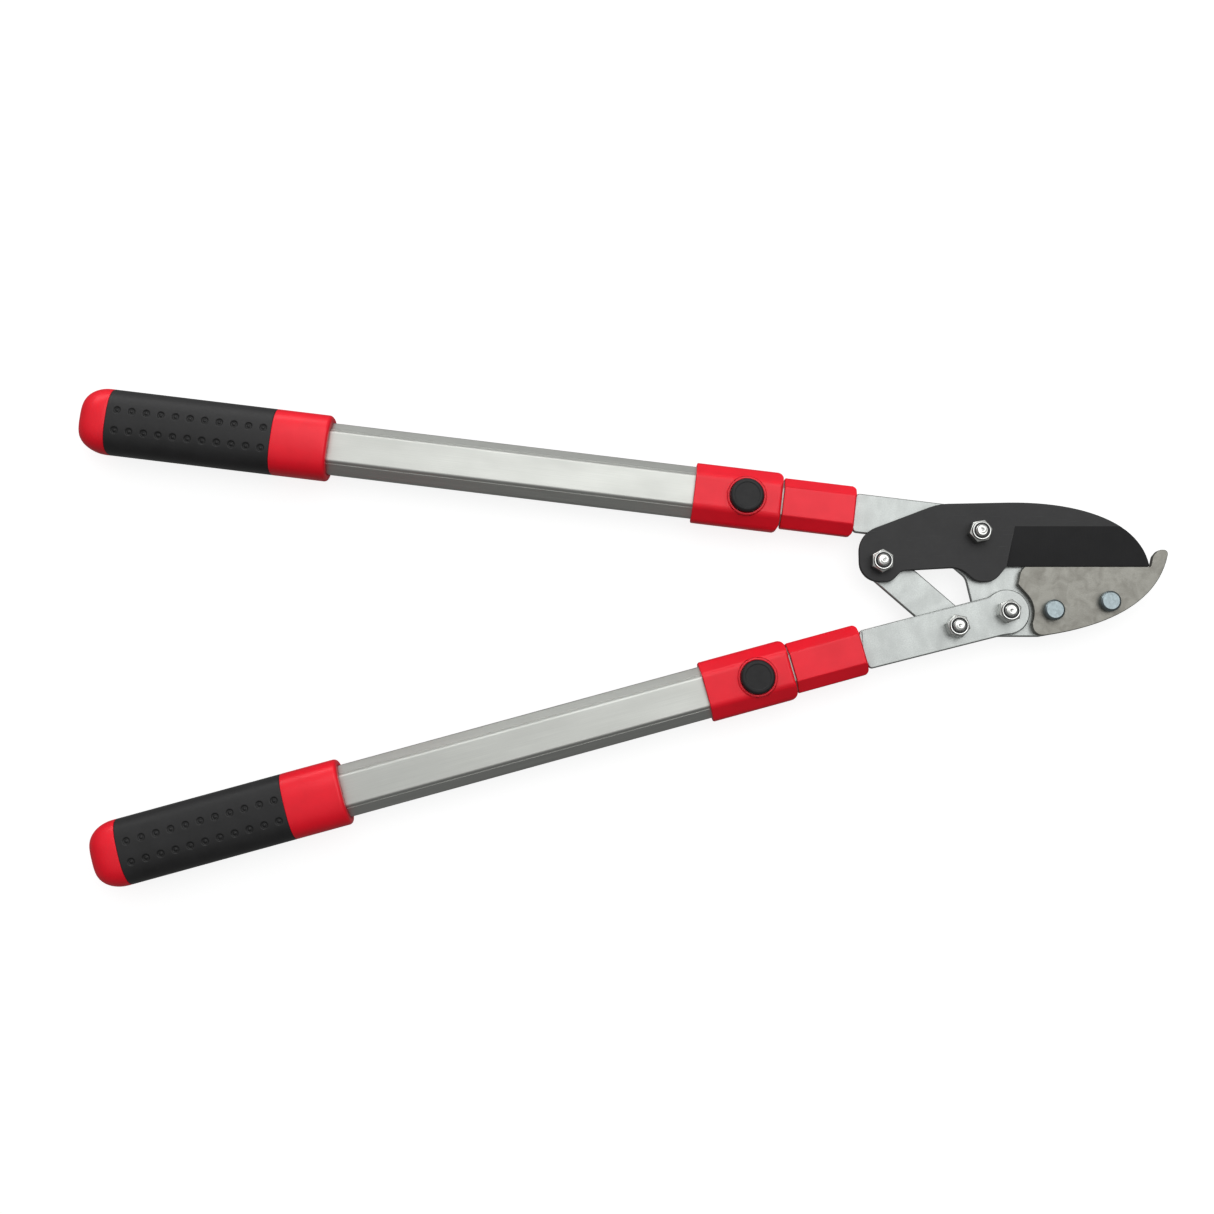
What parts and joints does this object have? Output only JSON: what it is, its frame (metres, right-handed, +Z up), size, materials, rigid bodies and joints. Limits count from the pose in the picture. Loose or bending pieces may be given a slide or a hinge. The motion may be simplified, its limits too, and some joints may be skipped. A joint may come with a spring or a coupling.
{
  "type": "telescopic anvil loppers",
  "caption": "Long-handled compound-action loppers: a curved blade closes on a hooked anvil, with a link, telescopic tube handles with lock buttons, and padded grips.",
  "frame": {"origin": "under the middle of the box of the closed and collapsed tool, on the surface that it lies on", "axes": "+X runs from the grips to the head, +Z up through the flat of the tool, out of the blade side; +Y towards the back of the blade"},
  "size_m": [0.6949, 0.3156, 0.0338],
  "materials": {
    "plate_steel": "zinc-plated satin steel with a fine speckle and bright edges",
    "blade_coating": "satin dark non-stick coating, darker on the ground flank",
    "anvil_steel": "brownish grey satin steel with faint stains",
    "rivet_zinc": "bluish zinc-plated steel with bright rims",
    "fastener_zinc": "bright zinc-plated steel",
    "nylon": "dark grey nylon",
    "spring_steel": "bright spring steel",
    "tube_aluminium": "satin drawn aluminium with a fine lengthwise grain",
    "red_plastic": "glossy moulded red plastic",
    "black_plastic": "satin moulded black plastic",
    "black_rubber": "matte black soft rubber with dimples"
  },
  "bodies": {
    "head": {"frame_plate": "plate_steel", "anvil": "anvil_steel", "anvil_rivets": "rivet_zinc", "main_bolt": "fastener_zinc", "main_nut": "fastener_zinc", "main_nut_ring": "nylon", "main_washer": "fastener_zinc", "handle_bolt": "fastener_zinc", "handle_nut": "fastener_zinc", "handle_nut_ring": "nylon", "handle_washer": "fastener_zinc", "upper_ferrule": "red_plastic", "upper_tang_insert": "black_plastic", "upper_tang_rivets": "fastener_zinc", "upper_inner_tube": "tube_aluminium", "upper_inner_bush": "black_plastic"},
    "blade": {"blade": "blade_coating", "tail_bolt": "fastener_zinc", "tail_nut": "fastener_zinc", "tail_nut_ring": "nylon", "tail_washer": "fastener_zinc"},
    "lower_handle": {"lower_plate": "plate_steel", "link_bolt": "fastener_zinc", "link_nut": "fastener_zinc", "link_nut_ring": "nylon", "link_washer": "fastener_zinc", "lower_ferrule": "red_plastic", "lower_tang_insert": "black_plastic", "lower_tang_rivets": "fastener_zinc", "lower_inner_tube": "tube_aluminium", "lower_inner_bush": "black_plastic"},
    "link": {"link": "plate_steel"},
    "upper_slide": {"upper_outer_tube": "tube_aluminium", "upper_collar": "red_plastic", "upper_button_spring": "spring_steel", "upper_grip_core": "red_plastic", "upper_grip_sleeve": "black_rubber"},
    "lower_slide": {"lower_outer_tube": "tube_aluminium", "lower_collar": "red_plastic", "lower_button_spring": "spring_steel", "lower_grip_core": "red_plastic", "lower_grip_sleeve": "black_rubber"},
    "upper_lock": {"upper_button": "black_plastic", "upper_lock_pin": "fastener_zinc"},
    "lower_lock": {"lower_button": "black_plastic", "lower_lock_pin": "fastener_zinc"}
  },
  "joints": [
    {"name": "lower_handle_pivot", "type": "hinge", "parent": "head", "child": "lower_handle", "pos_m": [0.24457, 0.01365, 0.0165], "axis": [0, 0, 1], "range_deg": [0, 60]},
    {"name": "blade_pivot", "type": "hinge", "parent": "head", "child": "blade", "pos_m": [0.22757, 0.06435, 0.0165], "axis": [0, 0, 1], "range_deg": [0, 32.5]},
    {"name": "link_pivot", "type": "hinge", "parent": "lower_handle", "child": "link", "pos_m": [0.21197, 0.00425, 0.0165], "axis": [0, 0, 1], "range_deg": [-52.5, 0]},
    {"name": "upper_telescope", "type": "slide", "parent": "head", "child": "upper_slide", "axis": [-0.9925, 0.1219, 0], "range_m": [0, 0.3]},
    {"name": "lower_telescope", "type": "slide", "parent": "lower_handle", "child": "lower_slide", "axis": [-0.9646, -0.2639, 0], "range_m": [0, 0.3]},
    {"name": "upper_button_press", "type": "slide", "parent": "upper_slide", "child": "upper_lock", "axis": [0, 0, -1], "range_m": [0, 0.0026], "stiffness_N_per_m": 1200, "deforming": ["upper_button_spring"]},
    {"name": "lower_button_press", "type": "slide", "parent": "lower_slide", "child": "lower_lock", "axis": [0, 0, -1], "range_m": [0, 0.0026], "stiffness_N_per_m": 1200, "deforming": ["lower_button_spring"]}
  ],
  "couplings": [
    {"joint": "blade_pivot", "follows": "lower_handle_pivot", "ratio": 0.5384},
    {"joint": "link_pivot", "follows": "lower_handle_pivot", "ratio": -0.8713}
  ]
}
